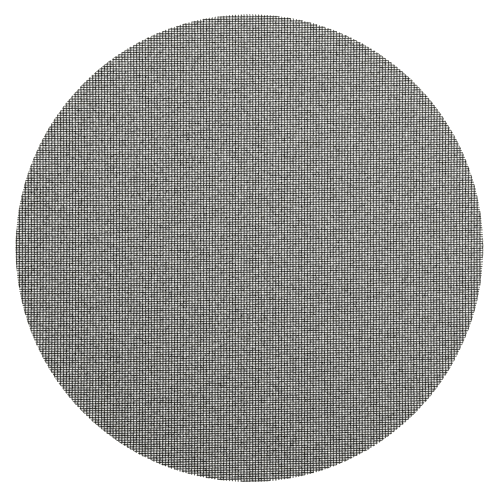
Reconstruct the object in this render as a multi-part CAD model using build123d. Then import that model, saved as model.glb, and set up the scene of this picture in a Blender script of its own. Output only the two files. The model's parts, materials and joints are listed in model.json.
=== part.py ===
from build123d import *
import math
import os

# Mesh sanding disc: one flat round piece, die-cut from open leno cloth that is coated with resin and grit.
# It lies on its back face in the XY plane, with the centre of the back face at the origin and +Z up.
# Warp strands run along Y and stand proud on the front face. Weft strands run along X, proud on the back.
# The cloth has about 26,000 openings. They are drawn gathered: one modelled gap takes the place of the
# openings of a square block of strands, with the same open share. The strands of that block lie side by
# side in the bands between the gaps, as ridges at the cloth's own pitch.

# The disc as cut, in millimetres
disc_diameter = 225.0
disc_thickness = 1.0

# The cloth: distance from strand to strand, and the width of one coated strand
warp_pitch = 1.392
weft_pitch = 1.109
warp_strand = 0.592
weft_strand = 0.489

# The bonded web between the two ridged faces, and the flat that the press leaves along each ridge
web_thickness = 0.36
warp_crest = 0.24
weft_crest = 0.20

# Strands that one modelled gap stands for each way, and the resin across a gap's corners
strands_per_gap = 16
corner_web = 1.3

# The strand ends along the cut edge are closed to a narrow rim. A gap that the rim leaves less of than
# this share is not cut.
edge_width = 1.2
smallest_gap_share = 0.25

radius = disc_diameter / 2
ridge_height = (disc_thickness - web_thickness) / 2
web_bottom = ridge_height
web_top = ridge_height + web_thickness
gap_pitch_x = strands_per_gap * warp_pitch
gap_pitch_y = strands_per_gap * weft_pitch
gap_width = strands_per_gap * (warp_pitch - warp_strand)
gap_height = strands_per_gap * (weft_pitch - weft_strand)


def ridge_places(pitch, strand, gap_pitch, gap_size):
    """Strand positions across the disc that lie wholly on a band between two lines of gaps."""
    band_width = gap_pitch - gap_size
    steps_to_edge = int((radius - strand) / pitch)
    places = []
    for step in range(-steps_to_edge, steps_to_edge + 1):
        place = step * pitch
        from_band_middle = abs(place - gap_pitch * round(place / gap_pitch))
        if from_band_middle + strand / 2 <= band_width / 2:
            places.append(place)
    return places


def comb_outline(places, strand, crest):
    """Half of the sheet in section: the roots at height zero, with a flat-topped ridge at each place."""
    points = [(-radius, -web_thickness / 2), (-radius, 0)]
    for place in places:
        points.append((place - strand / 2, 0))
        points.append((place - crest / 2, ridge_height))
        points.append((place + crest / 2, ridge_height))
        points.append((place + strand / 2, 0))
    points += [(radius, 0), (radius, -web_thickness / 2)]
    return points


def ridged_half(section_plane, places, strand, crest):
    """The comb run right across the disc and cut to the disc's round outline."""
    comb = section_plane * make_face(Polyline(comb_outline(places, strand, crest), close=True))
    slab = extrude(comb, amount=radius, both=True)
    blank = Cylinder(radius, disc_thickness, align=(Align.CENTER, Align.CENTER, Align.MIN))
    return slab & blank


def front_half():
    """The warp ridges, which run along Y."""
    places = ridge_places(warp_pitch, warp_strand, gap_pitch_x, gap_width)
    section = Plane(origin=(0, 0, web_top), x_dir=(1, 0, 0), z_dir=(0, -1, 0))
    return ridged_half(section, places, warp_strand, warp_crest)


def back_half():
    """The weft ridges, which run along X."""
    places = ridge_places(weft_pitch, weft_strand, gap_pitch_y, gap_height)
    section = Plane(origin=(0, 0, web_bottom), x_dir=(0, 1, 0), z_dir=(-1, 0, 0))
    return ridged_half(section, places, weft_strand, weft_crest)


def gap_centres():
    """Middles of all the gaps of the pattern that reach inside the disc, with a band each way at the centre."""
    columns_to_edge = int(radius / gap_pitch_x) + 1
    rows_to_edge = int(radius / gap_pitch_y) + 1
    centres = []
    for column in range(-columns_to_edge, columns_to_edge):
        for row in range(-rows_to_edge, rows_to_edge):
            x = (column + 0.5) * gap_pitch_x
            y = (row + 0.5) * gap_pitch_y
            nearest_corner = math.hypot(abs(x) - gap_width / 2, abs(y) - gap_height / 2)
            if nearest_corner < radius - edge_width:
                centres.append((x, y))
    return centres


def gap_outlines():
    """Each gap as a rectangle with webbed corners, cut back where it would run into the rim."""
    whole_gap = chamfer(Rectangle(gap_width, gap_height).vertices(), corner_web)
    inside_rim = Circle(radius - edge_width)
    outlines = []
    for x, y in gap_centres():
        outline = (Pos(x, y) * whole_gap) & inside_rim
        if outline.area >= smallest_gap_share * whole_gap.area:
            outlines.append(outline)
    return outlines


def mesh_disc():
    """The whole sheet: both ridged halves bonded at the middle of the web, with the gaps cut through."""
    sheet = front_half() + back_half()
    return sheet - [extrude(outline, amount=disc_thickness) for outline in gap_outlines()]


os.makedirs("parts", exist_ok=True)
disc = mesh_disc()
export_step(disc, "parts/mesh_disc.step")
print("gaps", len(gap_outlines()), "solids", len(disc.solids()), "faces", len(disc.faces()))
print("volume", round(disc.volume, 1), "cubic millimetres")
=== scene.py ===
# %% [markdown]
# # A mesh sanding disc
#
# The disc is cut from an open cloth of glass yarn. The cloth is leno woven: across it lie single weft
# yarns, and along it run warp yarns in pairs. One yarn of each pair stays almost straight. The other
# passes under it between every two wefts and comes over each weft on the other side of it, so the pair
# grips every weft and nothing slides. The cloth is then coated with resin and black grit on both faces,
# and a round die cuts the disc.
#
# There are about 26,000 openings, and they are what the eye sees. A picture on a flat disc would show
# them from above and fail from the side, so here each yarn is a real tube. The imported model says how
# wide and thick the disc is, with its centre at the origin, and the yarns fill exactly that room.

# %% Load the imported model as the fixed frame
import collections
import json
import math
import bpy
import numpy as np
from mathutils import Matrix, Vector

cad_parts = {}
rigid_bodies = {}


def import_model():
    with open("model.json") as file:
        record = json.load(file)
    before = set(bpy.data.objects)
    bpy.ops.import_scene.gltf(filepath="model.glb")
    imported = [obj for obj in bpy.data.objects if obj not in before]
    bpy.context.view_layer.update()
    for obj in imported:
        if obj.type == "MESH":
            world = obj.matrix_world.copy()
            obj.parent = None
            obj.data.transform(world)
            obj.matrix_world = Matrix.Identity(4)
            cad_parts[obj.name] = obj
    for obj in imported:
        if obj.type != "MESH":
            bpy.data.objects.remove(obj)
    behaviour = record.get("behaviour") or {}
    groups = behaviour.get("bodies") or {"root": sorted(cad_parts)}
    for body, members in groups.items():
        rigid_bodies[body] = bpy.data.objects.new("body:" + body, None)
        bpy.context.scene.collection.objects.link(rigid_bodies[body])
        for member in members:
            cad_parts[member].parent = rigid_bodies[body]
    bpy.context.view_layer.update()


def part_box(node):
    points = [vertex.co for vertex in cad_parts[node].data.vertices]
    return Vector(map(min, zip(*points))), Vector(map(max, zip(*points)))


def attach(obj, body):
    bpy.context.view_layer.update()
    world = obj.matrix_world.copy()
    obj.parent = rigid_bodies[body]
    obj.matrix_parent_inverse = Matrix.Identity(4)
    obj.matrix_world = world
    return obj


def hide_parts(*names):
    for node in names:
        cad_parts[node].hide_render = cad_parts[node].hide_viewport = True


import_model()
node_low, node_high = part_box("mesh_disc")
MM = 0.001
disc_radius = (node_high.x - node_low.x) / 2
disc_thickness = node_high.z - node_low.z
print("disc radius in mm:", round(disc_radius / MM, 3), "thickness:", round(disc_thickness / MM, 3))

# %% [markdown]
# ## The cloth's pitches
#
# The pitch is the distance from one yarn to the next. Counting the columns and rows in the photograph
# gives both pitches, and the places of the first warp and the first weft beside the disc's centre say
# where the pattern lies on the disc.

# %% Pitches and first yarns
WARP_PITCH = 1.3877 * MM
WEFT_PITCH = 1.1043 * MM
FIRST_WARP = 0.210 * MM
FIRST_WEFT = 0.5545 * MM
print("openings:", round(math.pi * disc_radius**2 / (WARP_PITCH * WEFT_PITCH)))

# %% [markdown]
# ## Out of square
#
# Weaving and coating pull the cloth a little out of square: the rows have a slope, a shallow bow and a
# slight fan, and the columns stand closer on one side. Near the rim they stand wider, most of all in the
# last centimetre, where the die may have pressed them outwards. Those few lengths are written here once,
# and every yarn follows them. They could be left out on most objects. Here the fine pattern beats against
# the picture's pixels, and the faint bands it makes would lie in other places.

# %% How far the cloth is pulled
WEFT_SLOPE = 0.0185
WEFT_BOW = 0.631 * MM
WEFT_FAN = -0.775 * MM
WEFT_SPREAD = 0.209 * MM
WARP_LEAN = 0.046 * MM
WARP_SPREAD = -0.822 * MM
WARP_RIM = 0.38 * MM
UNMOVED_RING = 0.5
PRESSED_RIM = 0.19 * MM
PRESSED_STEEPNESS = 5


def pulled(x, y):
    """Where the cloth's point x, y has been pulled to."""
    across = x / disc_radius
    along = y / disc_radius
    outwards = across**2 + along**2
    rim = WARP_RIM * (outwards - UNMOVED_RING) + PRESSED_RIM * outwards**PRESSED_STEEPNESS
    sideways = WARP_SPREAD * across**2 + WARP_LEAN * along + rim * across
    bend = WEFT_BOW * across**2 + WEFT_FAN * across * along + WEFT_SPREAD * along**2
    return x + sideways, y + WEFT_SLOPE * x + bend


right_end = pulled(disc_radius, 0)
print("the middle row's right end in mm:", round(right_end[0] / MM, 2), round(right_end[1] / MM, 2))

# %% [markdown]
# ## The yarns' sections
#
# A coated yarn is flat and wide. Its width is set by the picture's tone: the photograph was made small
# by averaging tones and a render averages light, which comes out paler for the same cloth. So the yarns
# are wider here than they would measure. A weft has 0.68 mm in place of about half a millimetre, and
# the disc gets the photograph's grey. Every second weft is a little thicker than the one before it, as
# the photograph's rows are and as happens when the weaver feeds the wefts from two spools in turn.

# %% Half widths and half heights
WEFT_HALF = (0.340 * MM, 0.165 * disc_thickness)
WARP_HALF = (0.270 * MM, 0.150 * disc_thickness)
WEFT_PAIRING = 0.045
opening = (WARP_PITCH - 2 * WARP_HALF[0], WEFT_PITCH - 2 * WEFT_HALF[0])
print("one opening in mm:", round(opening[0] / MM, 3), "by", round(opening[1] / MM, 3))

# %% [markdown]
# ## The yarns' levels and swings
#
# Seen from the edge, the coated cloth is a stack of four levels in one millimetre. At the bottom the
# crossing yarn passes under the straight one. Above that lies the straight warp yarn, then the weft on
# it, and on top the crossing yarn again, where it comes over the weft. Resin fills the touching places,
# so neighbouring levels run a little into each other. Each level is a share of the disc's thickness.
#
# The crossing yarn swings to one side at one weft and to the other side at the next. It is late: where
# it passes under the straight yarn it is still a little on its old side. It pushes the straight yarn the
# opposite way.

# %% Levels and swings
WEFT_LEVEL = 0.58 * disc_thickness
STRAIGHT_LEVEL = 0.38 * disc_thickness
CROSSING_OVER = 0.85 * disc_thickness
CROSSING_UNDER = 0.15 * disc_thickness
CROSSING_SWING = 0.200 * MM
CROSSING_LATE = 0.065 * MM
STRAIGHT_SWING = 0.080 * MM
print("crossing yarn's top in mm:", round((CROSSING_OVER + WARP_HALF[1]) / MM, 3))

# %% [markdown]
# ## One yarn, modelled once
#
# A yarn starts as a ring: a circle turned upright and pressed to the yarn's flat section. Extruding the
# ring step by step along one repeat of the weave gives the yarn its swing, and an Array modifier repeats
# that piece along the whole cloth. A curve with a bevel would make a tube too, but then the rings would
# lie where the curve puts them. Here a ring sits at each place where the yarn really bends.
#
# Four sides are enough for a yarn that is about one pixel wide in the picture. What shows more is how
# often its outline changes, so the triangles go into rings along the yarn and not into sides round it.


# %% Helpers that select a piece and repeat it
SEAM_SHARE = 0.01


def deselect_everything():
    """Leaves nothing selected, because an operator acts on all that is."""
    bpy.ops.object.select_all(action="DESELECT")


def take_up(piece):
    """Makes one piece the only one that operators act on."""
    deselect_everything()
    piece.select_set(True)
    bpy.context.view_layer.objects.active = piece


def repeat(piece, title, offset, count, step=0):
    """Copies of a piece at a fixed offset, made real in its own mesh, and joined if they have a step."""
    take_up(piece)
    array = piece.modifiers.new(title, "ARRAY")
    array.use_relative_offset = False
    array.use_constant_offset = True
    array.constant_offset_displace = offset
    array.count = count
    array.use_merge_vertices = step > 0
    array.merge_threshold = SEAM_SHARE * step
    bpy.ops.object.modifier_apply(modifier=array.name)


# %% How many repeats the disc needs
SPARE_REPEATS = 2


def each_way(length):
    """How many repeats of a length reach from the disc's centre past its edge."""
    return math.ceil(disc_radius / length) + SPARE_REPEATS


wefts_each_way = each_way(WEFT_PITCH)
warps_each_way = each_way(WARP_PITCH)
print("yarns to either side of the centre: wefts", wefts_each_way, "warps", warps_each_way)

# %% A helper that models one yarn along Y
YARN_SIDES = 4


def model_yarn(name, half, rings, step, first_ring):
    """Extrudes a ring through (sideways, level) places a step apart, and repeats that along the cloth."""
    repeat_length = step * len(rings)
    start = first_ring - repeat_length * each_way(repeat_length)
    deselect_everything()
    bpy.ops.mesh.primitive_circle_add(vertices=YARN_SIDES, radius=1, rotation=(math.pi / 2, 0, 0))
    yarn = bpy.context.object
    yarn.name = name
    bpy.ops.object.transform_apply(location=True, rotation=True, scale=True)
    bpy.ops.object.mode_set(mode="EDIT")
    bpy.ops.mesh.select_all(action="SELECT")
    bpy.ops.transform.resize(value=(half[0], 1, half[1]))
    bpy.ops.transform.translate(value=(rings[0][0], start, rings[0][1]))
    for here, after in zip(rings, rings[1:] + rings[:1]):
        move = (after[0] - here[0], step, after[1] - here[1])
        bpy.ops.mesh.extrude_region_move(TRANSFORM_OT_translate={"value": move})
    bpy.ops.object.mode_set(mode="OBJECT")
    repeat(yarn, "along the cloth", (0, repeat_length, 0), 2 * each_way(repeat_length), step)
    print(name, "rings", len(yarn.data.vertices) // YARN_SIDES)
    return yarn


# %% [markdown]
# ## Laying the yarns side by side
#
# A second Array sets copies of the one yarn side by side at the pitch. One object for each yarn would
# work as well, but over 500 objects are slow to handle, and their meshes are alike until they are shaped.


# %% A helper that copies a yarn sideways
def lay_side_by_side(yarn, name, first, pitch, copies):
    """A new piece of so many copies of a yarn, the first one at its place."""
    take_up(yarn)
    bpy.ops.object.duplicate()
    piece = bpy.context.object
    piece.name = name
    piece.data.name = name
    bpy.ops.object.mode_set(mode="EDIT")
    bpy.ops.mesh.select_all(action="SELECT")
    bpy.ops.transform.translate(value=(first, 0, 0))
    bpy.ops.object.mode_set(mode="OBJECT")
    repeat(piece, "side by side", (pitch, 0, 0), copies)
    return piece


# %% [markdown]
# ## Knowing each vertex
#
# To shape the yarns, each vertex has to be known by its yarn, its ring along the yarn and its side round
# the ring. An Array keeps the vertices of each copy together, which gives the yarn. The ring and the side
# are found from where the vertices lie, and so don't depend on the order in which an operator made them.


# %% Helpers that put the vertices in order
def vertex_places(piece):
    """The places of all the vertices, one row each."""
    flat = np.empty(len(piece.data.vertices) * 3, np.float32)
    piece.data.vertices.foreach_get("co", flat)
    return flat.reshape(-1, 3).astype(float)


def in_order(piece, copies, step):
    """Vertex numbers by copy, ring and side, and their places in the same order."""
    places = vertex_places(piece)
    copy = np.arange(len(places)) // (len(places) // copies)
    ring = np.rint((places[:, 1] - places[:, 1].min()) / step).astype(int)
    numbers = np.lexsort((ring, copy)).reshape(-1, YARN_SIDES)
    from_middle = places[numbers] - places[numbers].mean(axis=1, keepdims=True)
    turn = np.arctan2(from_middle[..., 2], from_middle[..., 0])
    quarter_side = math.pi / YARN_SIDES / 2
    turn_from_a_gap = (turn + quarter_side) % (2 * math.pi)
    numbers = np.take_along_axis(numbers, np.argsort(turn_from_a_gap, axis=1), axis=1)
    numbers = numbers.reshape(copies, -1, YARN_SIDES)
    return numbers, places[numbers]


# %% [markdown]
# ## Wandering yarns
#
# No yarn is quite straight. Each one wanders a little, in two slow waves of different length. The yarns
# beside it wander nearly as it does, because one leans on the next, so each wave is turned only so far
# from the wave beside it. All that is random here is seeded, and the disc comes out the same every time.

# %% A helper for slow drifts
WEFT_WANDER = 0.018 * MM
WARP_WANDER = 0.010 * MM
WANDER_LENGTHS = (23 * MM, 61 * MM)
MOST_TURN = 1.9


def wander(random, points, reach):
    """The sideways drift of each yarn at each of its rings."""
    distance = points[:, :, 0, 1]
    drift = np.zeros_like(distance)
    for length in WANDER_LENGTHS:
        phase = random.uniform(-MOST_TURN, MOST_TURN, (len(points), 1)).cumsum(axis=0)
        drift += reach * np.sin(2 * math.pi * distance / length + phase)
    return drift


# %% [markdown]
# ## Lumpy coats
#
# The coat has lumps and hollows. They sit on one side of the yarn and not all round it, and a lump has
# drawn its resin from the place before it. Smooth tubes would look like wire, and tubes that swell evenly
# all round would make the disc look cloudy. The rings of a weft are also slid a little along it, or its
# lumps would stand in columns. Single grains then move each vertex a little more.
#
# The wet coat also ran slightly towards one side of the cloth: the photograph's disc is a little darker
# at its lower edge.

# %% Helpers for the coat
WEFT_STEP = 0.65 * WARP_PITCH
WEFT_COAT_UNEVEN = 0.13
WARP_COAT_UNEVEN = 0.20
MOST_UNEVEN = 2.0
COAT_DRAWN = 0.45
RING_SHIFT = 0.30 * WEFT_STEP
GRAIN_UNEVEN = 0.020 * MM
COAT_LEAN_ACROSS = -0.03
COAT_LEAN_ALONG = -0.06
COAT_LEAN_BOW = 0.03


def coat_lean(x, y):
    """How much thicker the coat is at x, y than at the centre, as a share."""
    across, along = x / disc_radius, y / disc_radius
    return COAT_LEAN_ACROSS * across + COAT_LEAN_ALONG * along + COAT_LEAN_BOW * along**2


def roughen(random, points, along_x):
    """Makes the coat lumpy, moves each vertex by a grain, and moves each yarn by its drift."""
    middle = points.mean(axis=2, keepdims=True)
    uneven = random.normal(0, 1, points.shape[:3] + (1,)).clip(-MOST_UNEVEN, MOST_UNEVEN)
    uneven -= COAT_DRAWN * np.roll(uneven, 1, axis=1)
    across, along = middle[..., 0:1], middle[..., 1:2]
    if along_x:
        size = 1 + WEFT_COAT_UNEVEN * uneven + coat_lean(along, across)
        size[::2] -= WEFT_PAIRING
        size[1::2] += WEFT_PAIRING
    else:
        size = 1 + WARP_COAT_UNEVEN * uneven + coat_lean(across, along)
    points = middle + (points - middle) * size
    points = points + random.normal(0, GRAIN_UNEVEN, points.shape)
    points[..., 0] += wander(random, points, WEFT_WANDER if along_x else WARP_WANDER)[..., None]
    if along_x:
        points[..., 1] += random.uniform(-RING_SHIFT, RING_SHIFT, points.shape[:2] + (1,))
    return points


# %% [markdown]
# ## Yarns become cloth
#
# Every yarn was modelled along Y. A weft is laid along X here. Then each yarn is pulled with the cloth,
# and its grit is pressed between the two faces of the disc, as the coating rollers do.


# %% A helper that lays the yarns in the cloth
def as_cloth(points, along_x):
    """The yarns laid along X or Y, pulled with the cloth, and pressed between the disc's two faces."""
    across, along, level = np.moveaxis(points, -1, 0)
    x, y = pulled(along, across) if along_x else pulled(across, along)
    return np.stack([x, y, level.clip(0, disc_thickness)], axis=-1)


# %% [markdown]
# ## The die cut
#
# Where a yarn runs out through the circle, the ring outside is slid back along the yarn until it lies on
# the circle, and everything beyond is deleted. A boolean with a cylinder would cut the same circle, but
# with hundreds of tubes that lie in each other it is slow and often fails. The ends stop a hair short of
# the circle, each at its own distance, and a yarn that only grazes the circle is trimmed along its side.

# %% A helper that cuts the yarns to the circle
LOOSE_END = 0.12 * MM
FEWEST_RINGS = 3


def cut_to_circle(random, points):
    """Slides the first ring outside the circle back onto it, trims the sides, and marks what stays."""
    from_centre = np.hypot(points[..., 0], points[..., 1])
    outermost = from_centre.max(axis=2)
    stays = np.zeros(outermost.shape, bool)
    for yarn, distance in enumerate(outermost):
        radii = disc_radius - LOOSE_END * random.random(2)
        inside = np.flatnonzero(distance < disc_radius - LOOSE_END)
        if len(inside) < FEWEST_RINGS:
            continue
        first, last = inside[0], inside[-1]
        for inner, outer, radius in ((first, first - 1, radii[0]), (last, last + 1, radii[1])):
            room = radius - from_centre[yarn, inner]
            gain = from_centre[yarn, outer] - from_centre[yarn, inner]
            share = (room / np.maximum(gain, room))[:, None]
            points[yarn, outer] = points[yarn, inner] + share * (points[yarn, outer] - points[yarn, inner])
        stays[yarn, first - 1:last + 2] = True
    past_circle = np.hypot(points[..., 0], points[..., 1]) / disc_radius
    points[..., :2] /= np.maximum(past_circle, 1)[..., None]
    return points, stays


# %% [markdown]
# ## The cut faces
#
# What lies outside is deleted in edit mode, which leaves each yarn open at both ends. Filling the two
# holes closes it. The fills are the cut faces: they get the second material, and stay flat while the
# rest of the yarn is shaded smooth.


# %% Helpers that delete the rest and close the ends
def delete_the_rest(piece, numbers, stays):
    """Deletes the rings that don't stay."""
    outside = np.ones(len(piece.data.vertices), bool)
    outside[numbers[stays].ravel()] = False
    take_up(piece)
    bpy.ops.object.mode_set(mode="EDIT")
    bpy.ops.mesh.select_mode(type="VERT")
    bpy.ops.mesh.select_all(action="DESELECT")
    bpy.ops.object.mode_set(mode="OBJECT")
    piece.data.vertices.foreach_set("select", outside)
    bpy.ops.object.mode_set(mode="EDIT")
    bpy.ops.mesh.delete(type="VERT")
    bpy.ops.object.mode_set(mode="OBJECT")


def close_ends(piece):
    """Fills the open ends, gives them the second material and turns all faces outwards."""
    skin_faces = len(piece.data.polygons)
    bpy.ops.object.mode_set(mode="EDIT")
    bpy.ops.mesh.select_all(action="SELECT")
    bpy.ops.mesh.fill_holes(sides=YARN_SIDES)
    bpy.ops.mesh.select_all(action="SELECT")
    bpy.ops.mesh.normals_make_consistent(inside=False)
    bpy.ops.object.mode_set(mode="OBJECT")
    bpy.ops.object.shade_smooth()
    for face in piece.data.polygons[skin_faces:]:
        face.material_index = 1
        face.use_smooth = False
    return len(piece.data.polygons) - skin_faces


# %% [markdown]
# ## A whole piece of cloth
#
# The steps above, one after another, make one piece: yarns of one kind, side by side, from one place of
# the cloth to another. The yarns of a kind are split into two or three pieces only to keep each mesh
# light. Each piece draws its random numbers from a seed of its own.

# %% A helper that makes one piece from one kind of yarn
Kind = collections.namedtuple("Kind", "yarn step pitch first along_x")


def triangle_count(piece):
    """How many triangles a piece has."""
    return sum(len(face.vertices) - 2 for face in piece.data.polygons)


def make_cloth_piece(kind, name, first_copy, copies, seed):
    """Lays copies of a yarn, makes them uneven, cuts them round and closes them."""
    random = np.random.default_rng(seed)
    first = kind.first + first_copy * kind.pitch
    piece = lay_side_by_side(kind.yarn, name, first, kind.pitch, copies)
    numbers, points = in_order(piece, copies, kind.step)
    points = as_cloth(roughen(random, points, kind.along_x), kind.along_x)
    points, stays = cut_to_circle(random, points)
    places = np.zeros((len(piece.data.vertices), 3), np.float32)
    places[numbers] = points
    piece.data.vertices.foreach_set("co", places.ravel())
    piece.data.update()
    delete_the_rest(piece, numbers, stays)
    ends = close_ends(piece)
    yarns = int(stays.any(axis=1).sum())
    print(name, "yarns", yarns, "cut ends", ends, "triangles", triangle_count(piece))
    return piece


# %% [markdown]
# ## The wefts
#
# The wefts lie across the disc, along X. The pairs hold them at every warp, so their path is straight,
# and one ring is their whole repeat. Its step is shorter than the warps' pitch: at the pitch itself, the
# coat would change at every warp and nowhere between.

# %% Wefts in two halves
weft_yarn = model_yarn("weft_yarn", WEFT_HALF, [(0, WEFT_LEVEL)], WEFT_STEP, FIRST_WARP)
wefts = Kind(weft_yarn, WEFT_STEP, WEFT_PITCH, FIRST_WEFT, along_x=True)
cloth = [
    make_cloth_piece(wefts, "wefts_lower", -wefts_each_way, wefts_each_way, seed=11),
    make_cloth_piece(wefts, "wefts_upper", 0, wefts_each_way, seed=12),
]

# %% [markdown]
# ## The straight warp yarns
#
# The straight yarn of each pair is pushed a little to one side at one weft, and to the other side at the
# next. So its repeat is two wefts long and has two rings.

# %% Straight yarns in two halves
straight_rings = [(-STRAIGHT_SWING, STRAIGHT_LEVEL), (STRAIGHT_SWING, STRAIGHT_LEVEL)]
straight_yarn = model_yarn("straight_yarn", WARP_HALF, straight_rings, WEFT_PITCH, FIRST_WEFT)
straight_yarns = Kind(straight_yarn, WEFT_PITCH, WARP_PITCH, FIRST_WARP, along_x=False)
cloth += [
    make_cloth_piece(straight_yarns, "straight_yarns_left", -warps_each_way, warps_each_way, seed=21),
    make_cloth_piece(straight_yarns, "straight_yarns_right", 0, warps_each_way, seed=22),
]

# %% [markdown]
# ## The crossing warp yarns
#
# The crossing yarn comes over a weft on one side, dives under the straight yarn, and comes over the next
# weft on the other side. It needs a ring on every weft and one between, so its step is half a weft pitch
# and its repeat has four rings.

# %% Crossing yarns in three parts
CROSSING_STEP = WEFT_PITCH / 2
crossing_rings = [
    (CROSSING_SWING, CROSSING_OVER),
    (CROSSING_LATE, CROSSING_UNDER),
    (-CROSSING_SWING, CROSSING_OVER),
    (-CROSSING_LATE, CROSSING_UNDER),
]
crossing_yarn = model_yarn("crossing_yarn", WARP_HALF, crossing_rings, CROSSING_STEP, FIRST_WEFT)
crossing_yarns = Kind(crossing_yarn, CROSSING_STEP, WARP_PITCH, FIRST_WARP, along_x=False)
third = 2 * warps_each_way // 3
for part, side in enumerate(("left", "middle", "right")):
    first_copy = part * third - warps_each_way
    cloth.append(
        make_cloth_piece(crossing_yarns, "crossing_yarns_" + side, first_copy, third, seed=31 + part)
    )

# %% Put the pattern yarns away
for yarn in (weft_yarn, straight_yarn, crossing_yarn):
    bpy.data.objects.remove(yarn)
print("pieces", len(cloth), "triangles in all", sum(triangle_count(piece) for piece in cloth))

# %% [markdown]
# ## Small helpers for materials
#
# A material is a small net of nodes. These helpers add one node each and hand back its output, so that
# the materials below read from top to bottom.


# %% Helpers for a new material and its colours
RAMP_READY_STOPS = 2
MIX_COLOUR_A = 6
MIX_COLOUR_B = 7
MIX_COLOUR_RESULT = 2


def new_material(name):
    """An empty node material with its shader and output."""
    material = bpy.data.materials.new(name)
    material.use_nodes = True
    nodes = material.node_tree.nodes
    nodes.clear()
    shader = nodes.new("ShaderNodeBsdfPrincipled")
    output = nodes.new("ShaderNodeOutputMaterial")
    material.node_tree.links.new(shader.outputs["BSDF"], output.inputs["Surface"])
    return material, nodes, material.node_tree.links, shader


def ramp(nodes, links, source, stops):
    """A colour ramp from a source, with the given places and colours."""
    node = nodes.new("ShaderNodeValToRGB")
    for index, (place, colour) in enumerate(stops):
        ready = index < RAMP_READY_STOPS
        stop = node.color_ramp.elements[index] if ready else node.color_ramp.elements.new(place)
        stop.position = place
        stop.color = (*colour, 1)
    links.new(source, node.inputs["Fac"])
    return node.outputs["Color"]


def times(nodes, links, first, second):
    """Two colours multiplied."""
    mix = nodes.new("ShaderNodeMix")
    mix.data_type = "RGBA"
    mix.blend_type = "MULTIPLY"
    mix.inputs["Factor"].default_value = 1
    links.new(first, mix.inputs[MIX_COLOUR_A])
    links.new(second, mix.inputs[MIX_COLOUR_B])
    return mix.outputs[MIX_COLOUR_RESULT]


# %% Helpers for sums with numbers and vectors
def math_node(nodes, links, operation, first, second):
    """A math node on two inputs, each a socket or a number."""
    node = nodes.new("ShaderNodeMath")
    node.operation = operation
    for socket, value in zip(node.inputs, (first, second)):
        if isinstance(value, float):
            socket.default_value = value
        else:
            links.new(value, socket)
    return node.outputs[0]


def vector_node(nodes, links, operation, first, second, output="Vector"):
    """A vector math node on two inputs, each a socket or a fixed vector."""
    node = nodes.new("ShaderNodeVectorMath")
    node.operation = operation
    for socket, value in zip(node.inputs, (first, second)):
        if isinstance(value, tuple):
            socket.default_value = value
        else:
            links.new(value, socket)
    return node.outputs[output]


# %% [markdown]
# ## The grit's facets
#
# A Voronoi texture splits the yarn's skin into cells, one for each grain. Painted on flat, the grains
# would look like camouflage. So each grain gets a facet: its height rises from its middle in a random
# direction, and falls off towards its edge. A Bump node turns that height into slopes.

# %% A helper for the height of the grains
GRAIN = 0.22 * MM
FACET_TILT = 1.2
GRAIN_CROWN = 0.35
MIDDLE_COLOUR = (0.5, 0.5, 0.5)


def grain_height(nodes, links, place, grains):
    """The height of each grain: a facet that leans a random way, on a crown that falls off to the edge."""
    from_middle = vector_node(nodes, links, "SUBTRACT", place, grains.outputs["Position"])
    lean = vector_node(nodes, links, "SUBTRACT", grains.outputs["Color"], MIDDLE_COLOUR)
    facet = vector_node(nodes, links, "DOT_PRODUCT", from_middle, lean, "Value")
    tilted = math_node(nodes, links, "MULTIPLY", facet, FACET_TILT)
    crown = math_node(nodes, links, "MULTIPLY", grains.outputs["Distance"], GRAIN_CROWN * GRAIN)
    return math_node(nodes, links, "SUBTRACT", tilted, crown)


# %% [markdown]
# ## The grit's tones, painted glints and painted shade
#
# Silicon carbide grit is black, and the resin under it is as dark. Most grains are nearly black and a few
# are pale: the pale ones are painted glints, a clean facet catching the light painted into its colour.
# Every Voronoi cell has a random colour of its own, and that one random value gives the grain its tone,
# its painted glint and its gloss. Between the grains the resin is painted darker towards each grain's
# edge, as painted shade. Slow tints, colder here and warmer there, lie over the whole cloth. The grit
# gleams little, so the specular level is low.

# %% The material of the coated yarn
# Grain tones: the pale top of this ramp is a painted glint, standing for facets that catch the light.
GRAIN_TONES_AND_GLINTS = [
    (0.00, (0.003, 0.003, 0.003)),
    (0.55, (0.007, 0.007, 0.007)),
    (0.80, (0.050, 0.050, 0.048)),
    (1.00, (0.600, 0.600, 0.580)),
]
# Painted shade: darker towards the edges of the grains, where the resin lies between them.
PAINTED_VALLEY_SHADE = [(0.40, (1.0, 1.0, 1.0)), (0.80, (0.4, 0.4, 0.4))]
GLOSSES = [(0.0, (0.70, 0.70, 0.70)), (0.7, (0.45, 0.45, 0.45)), (1.0, (0.25, 0.25, 0.25))]
TINTS = [(0.38, (0.93, 1.02, 0.92)), (0.62, (1.11, 1.04, 0.60))]
TINT_PATCH = 4 * MM
TINT_DETAIL = 3
SPECULAR = 0.15


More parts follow.
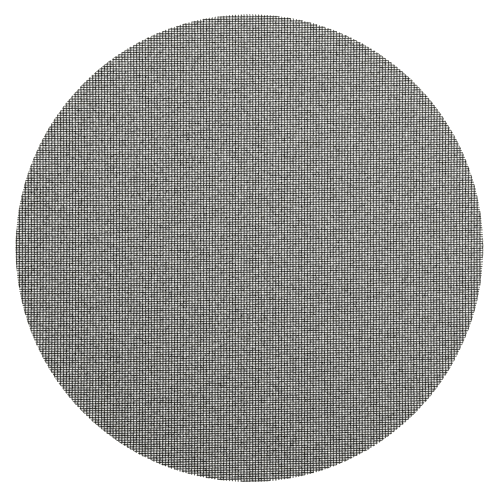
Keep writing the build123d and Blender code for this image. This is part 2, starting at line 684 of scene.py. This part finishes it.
def grit_material():
    """Black grit in resin."""
    material, nodes, links, shader = new_material("black_grit")
    place = nodes.new("ShaderNodeTexCoord").outputs["Object"]
    grains = nodes.new("ShaderNodeTexVoronoi")
    grains.inputs["Scale"].default_value = 1 / GRAIN
    links.new(place, grains.inputs["Vector"])
    patches = nodes.new("ShaderNodeTexNoise")
    patches.inputs["Scale"].default_value = 1 / TINT_PATCH
    patches.inputs["Detail"].default_value = TINT_DETAIL
    links.new(place, patches.inputs["Vector"])
    # Grain tone, with painted glints on the few palest grains.
    tone_and_glint = ramp(nodes, links, grains.outputs["Color"], GRAIN_TONES_AND_GLINTS)
    tint = ramp(nodes, links, patches.outputs["Fac"], TINTS)
    # Painted shade between the grains.
    valley_shade = ramp(nodes, links, grains.outputs["Distance"], PAINTED_VALLEY_SHADE)
    colour = times(nodes, links, times(nodes, links, tone_and_glint, tint), valley_shade)
    links.new(colour, shader.inputs["Base Color"])
    gloss = ramp(nodes, links, grains.outputs["Color"], GLOSSES)
    links.new(gloss, shader.inputs["Roughness"])
    shader.inputs["Specular IOR Level"].default_value = SPECULAR
    bump = nodes.new("ShaderNodeBump")
    bump.inputs["Strength"].default_value = 1
    bump.inputs["Distance"].default_value = 1
    links.new(grain_height(nodes, links, place, grains), bump.inputs["Height"])
    links.new(bump.outputs["Normal"], shader.inputs["Normal"])
    print(material.name, "nodes", len(nodes))
    return material


# %% [markdown]
# ## The cut ends
#
# The die leaves the bare ends of the glass filaments, grey with resin, and finer than the grit. A fine
# noise between two greys is enough, because an end is half a millimetre across.

# %% The material of the cut ends
FILAMENT = 0.05 * MM
CUT_TONES = [(0.35, (0.05, 0.05, 0.045)), (0.65, (0.24, 0.23, 0.20))]
CUT_ROUGHNESS = 0.7


def cut_yarn_material():
    """Cut glass yarn, grey with resin."""
    material, nodes, links, shader = new_material("cut_yarn")
    place = nodes.new("ShaderNodeTexCoord").outputs["Object"]
    filaments = nodes.new("ShaderNodeTexNoise")
    filaments.inputs["Scale"].default_value = 1 / FILAMENT
    links.new(place, filaments.inputs["Vector"])
    links.new(ramp(nodes, links, filaments.outputs["Fac"], CUT_TONES), shader.inputs["Base Color"])
    shader.inputs["Roughness"].default_value = CUT_ROUGHNESS
    print(material.name, "nodes", len(nodes))
    return material


# %% Give every piece both materials
grit = grit_material()
cut_yarn = cut_yarn_material()
for piece in cloth:
    piece.data.materials.clear()
    piece.data.materials.append(grit)
    piece.data.materials.append(cut_yarn)
print("materials on each piece:", [material.name for material in cloth[0].data.materials])

# %% [markdown]
# ## Telling the frame what each piece is
#
# Every piece belongs to the one body and stands in for the imported disc, which is hidden. None is
# declared as a sheet of cloth: the cured resin has made the cloth a stiff disc, which is cut to size and
# never hung, folded or sewn.

# %% Hand the pieces over
for piece in cloth:
    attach(piece, "root")
    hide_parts("mesh_disc")
print("pieces on the body:", [piece.name for piece in cloth])

# %% [markdown]
# ## The paper's white
#
# The photograph looks straight down on the disc, which lies on pure white. Raising the lamps until the
# paper turns white would wash out the disc too. So the white is a glow that only the camera and the
# mirror-like rays see. Apart from faint reflections it lights nothing. The photograph's paper is
# brighter than white: it has burnt out the openings and nibbled at the cut ends. The paper's glow is
# over 1 for that reason. It is also faintly warm, which shows only where an opening dims it.


# %% A helper that mixes the glow into a shader
def glow_to_camera(nodes, links, shaded, colour, strength, share):
    """Mixes a glow into a shader for camera, glossy and transmission rays."""
    rays = nodes.new("ShaderNodeLightPath").outputs
    seen = math_node(nodes, links, "MAXIMUM", rays["Is Camera Ray"], rays["Is Glossy Ray"])
    seen = math_node(nodes, links, "MAXIMUM", seen, rays["Is Transmission Ray"])
    glow = nodes.new("ShaderNodeEmission")
    glow.inputs["Color"].default_value = colour
    glow.inputs["Strength"].default_value = strength
    mix = nodes.new("ShaderNodeMixShader")
    links.new(math_node(nodes, links, "MULTIPLY", seen, share), mix.inputs["Fac"])
    links.new(shaded, mix.inputs[1])
    links.new(glow.outputs[0], mix.inputs[2])
    return mix.outputs[0]


# %% [markdown]
# ## The floor
#
# The floor is one large sheet of paper at the disc's underside. Under its glow it is a real pale surface,
# which takes the disc's shadow. The disc is one millimetre thick and lies flat, so that shadow is narrow,
# and the burnt-out white hides it as it does in the photograph.

# %% The sheet of paper
FLOOR_SIZE = 3.0
PAPER_GREY = (0.8, 0.8, 0.8, 1)
PAPER_GLOW_COLOUR = (1.0, 1.0, 0.966, 1)
PAPER_GLOW = 1.38
PAPER_GLOW_SHARE = 0.95

deselect_everything()
bpy.ops.mesh.primitive_plane_add(size=FLOOR_SIZE, location=(0, 0, 0))
floor = bpy.context.object
floor.name = "floor"
paper = bpy.data.materials.new("white_paper")
paper.use_nodes = True
nodes, links = paper.node_tree.nodes, paper.node_tree.links
nodes.clear()
surface = nodes.new("ShaderNodeBsdfDiffuse")
surface.inputs["Color"].default_value = PAPER_GREY
output = nodes.new("ShaderNodeOutputMaterial")
glowing = glow_to_camera(
    nodes, links, surface.outputs[0], PAPER_GLOW_COLOUR, PAPER_GLOW, PAPER_GLOW_SHARE
)
links.new(glowing, output.inputs["Surface"])
floor.data.materials.append(paper)
print(floor.name, "size in m:", FLOOR_SIZE)

# %% [markdown]
# ## The light
#
# A white sky gives half of the light, from all sides, and one large softbox behind the disc gives the
# other half. Together they light a white sheet to about 1, so a colour renders about as it is written.
# The sky that the camera sees is white too, by the same mix as the paper.

# %% The sky
WHITE = (1.0, 1.0, 1.0, 1)
SKY_LIGHT = 0.5
SKY_GLOW = 1.0
SKY_GLOW_SHARE = 1.0

world = bpy.data.worlds.new("studio")
bpy.context.scene.world = world
world.use_nodes = True
nodes, links = world.node_tree.nodes, world.node_tree.links
nodes.clear()
sky = nodes.new("ShaderNodeBackground")
sky.inputs["Color"].default_value = WHITE
sky.inputs["Strength"].default_value = SKY_LIGHT
output = nodes.new("ShaderNodeOutputWorld")
glowing = glow_to_camera(nodes, links, sky.outputs[0], WHITE, SKY_GLOW, SKY_GLOW_SHARE)
links.new(glowing, output.inputs["Surface"])
print(world.name, "light:", SKY_LIGHT, "seen by the camera as:", SKY_GLOW)

# %% The softbox
SOFTBOX_PLACE = (0.25, 0.40, 0.70)
SOFTBOX_SIZE = 0.6
SOFTBOX_WATTS = 4.5

bpy.ops.object.light_add(type="AREA", location=SOFTBOX_PLACE)
softbox = bpy.context.object
softbox.name = "softbox"
softbox.data.shape = "SQUARE"
softbox.data.size = SOFTBOX_SIZE
softbox.data.energy = SOFTBOX_WATTS
softbox.rotation_euler = (-softbox.location).to_track_quat("-Z", "Y").to_euler()
reach = softbox.location.length
lit = SOFTBOX_WATTS * softbox.location.z / (math.pi * reach) ** 2 / reach
print("light on a white sheet:", round(SKY_LIGHT + lit, 2))

# %% [markdown]
# ## The camera
#
# The photograph shows no side of the disc at all, so the camera is far above it, with a long lens. Its
# distance follows from the disc's width in the picture, and its place from the disc's centre there. The
# disc is a pixel wider here than its grey in the photograph, for the cut ends that the paper nibbles.

# %% The camera far above
FRAME_PIXELS = 500
DISC_PIXELS = 468.4
DISC_CENTRE_PIXELS = (249.39, 248.16)
LENS = 400
SENSOR = 36
VIEW_REACH = 10

pixel = 2 * disc_radius / DISC_PIXELS
distance = pixel * FRAME_PIXELS * LENS / SENSOR
eye_x = (FRAME_PIXELS / 2 - DISC_CENTRE_PIXELS[0]) * pixel
eye_y = (DISC_CENTRE_PIXELS[1] - FRAME_PIXELS / 2) * pixel
bpy.ops.object.camera_add(location=(eye_x, eye_y, disc_thickness + distance), rotation=(0, 0, 0))
camera = bpy.context.object
camera.name = "camera"
camera.data.sensor_width = SENSOR
camera.data.lens = LENS
camera.data.clip_end = VIEW_REACH * distance
bpy.context.scene.camera = camera
bpy.context.scene.view_settings.view_transform = "Standard"
print("camera above the disc in m:", round(distance, 3))
